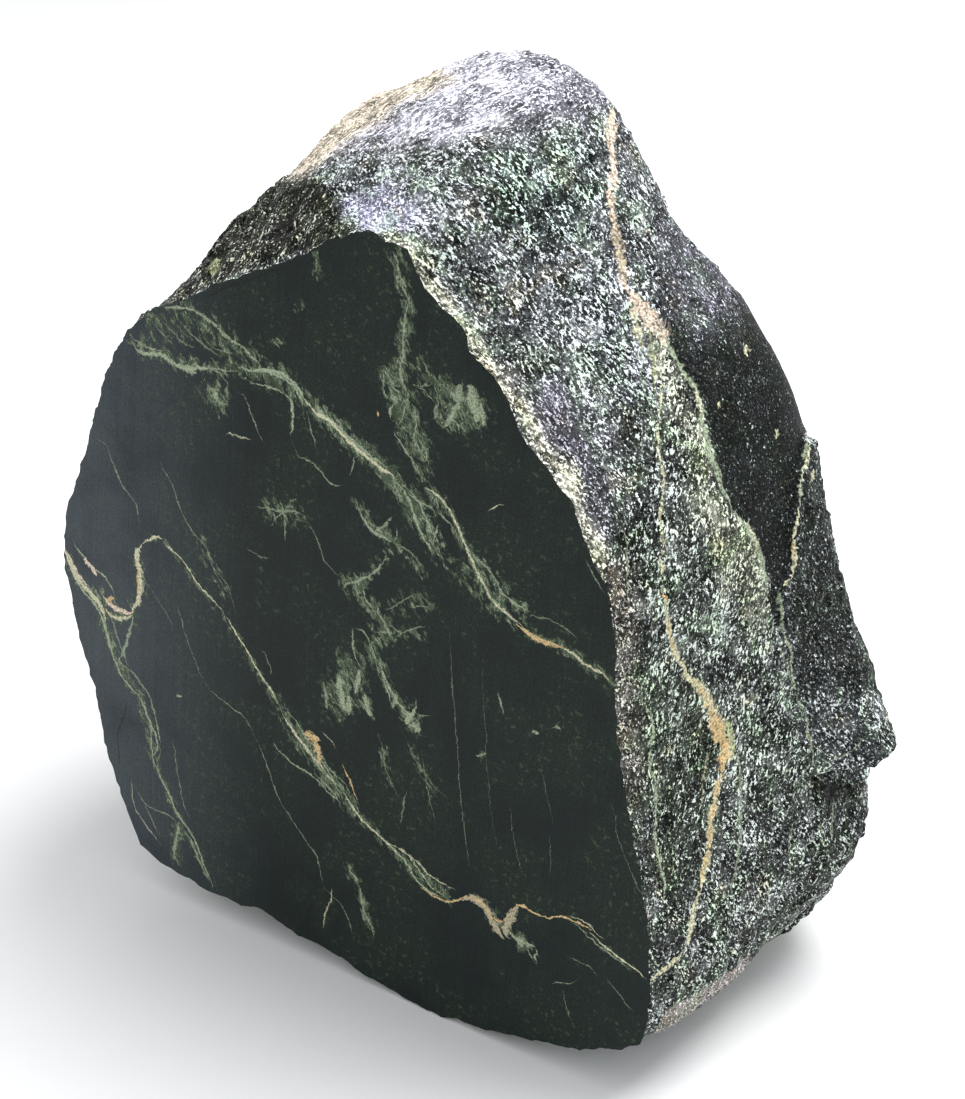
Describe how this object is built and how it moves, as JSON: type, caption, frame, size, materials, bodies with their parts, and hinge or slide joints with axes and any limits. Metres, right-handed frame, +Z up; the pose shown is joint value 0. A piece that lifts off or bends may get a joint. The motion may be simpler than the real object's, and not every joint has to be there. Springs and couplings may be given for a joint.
{
  "type": "jade boulder",
  "caption": "Irregular rough block of dark green jade with one flat sawn face and a worn flat underneath that it stands on.",
  "frame": {"origin": "centre of the boulder's width and depth, on the ground under the worn flat", "axes": "+Z up, -Y out of the sawn face, +X to the right as the sawn face is seen from in front"},
  "size_m": [0.2632, 0.163, 0.291],
  "materials": {
    "raw_nephrite": "rough, broken and sawn surfaces, hardly polished"
  },
  "bodies": {
    "root": {"jade_boulder": "raw_nephrite"}
  },
  "joints": []
}
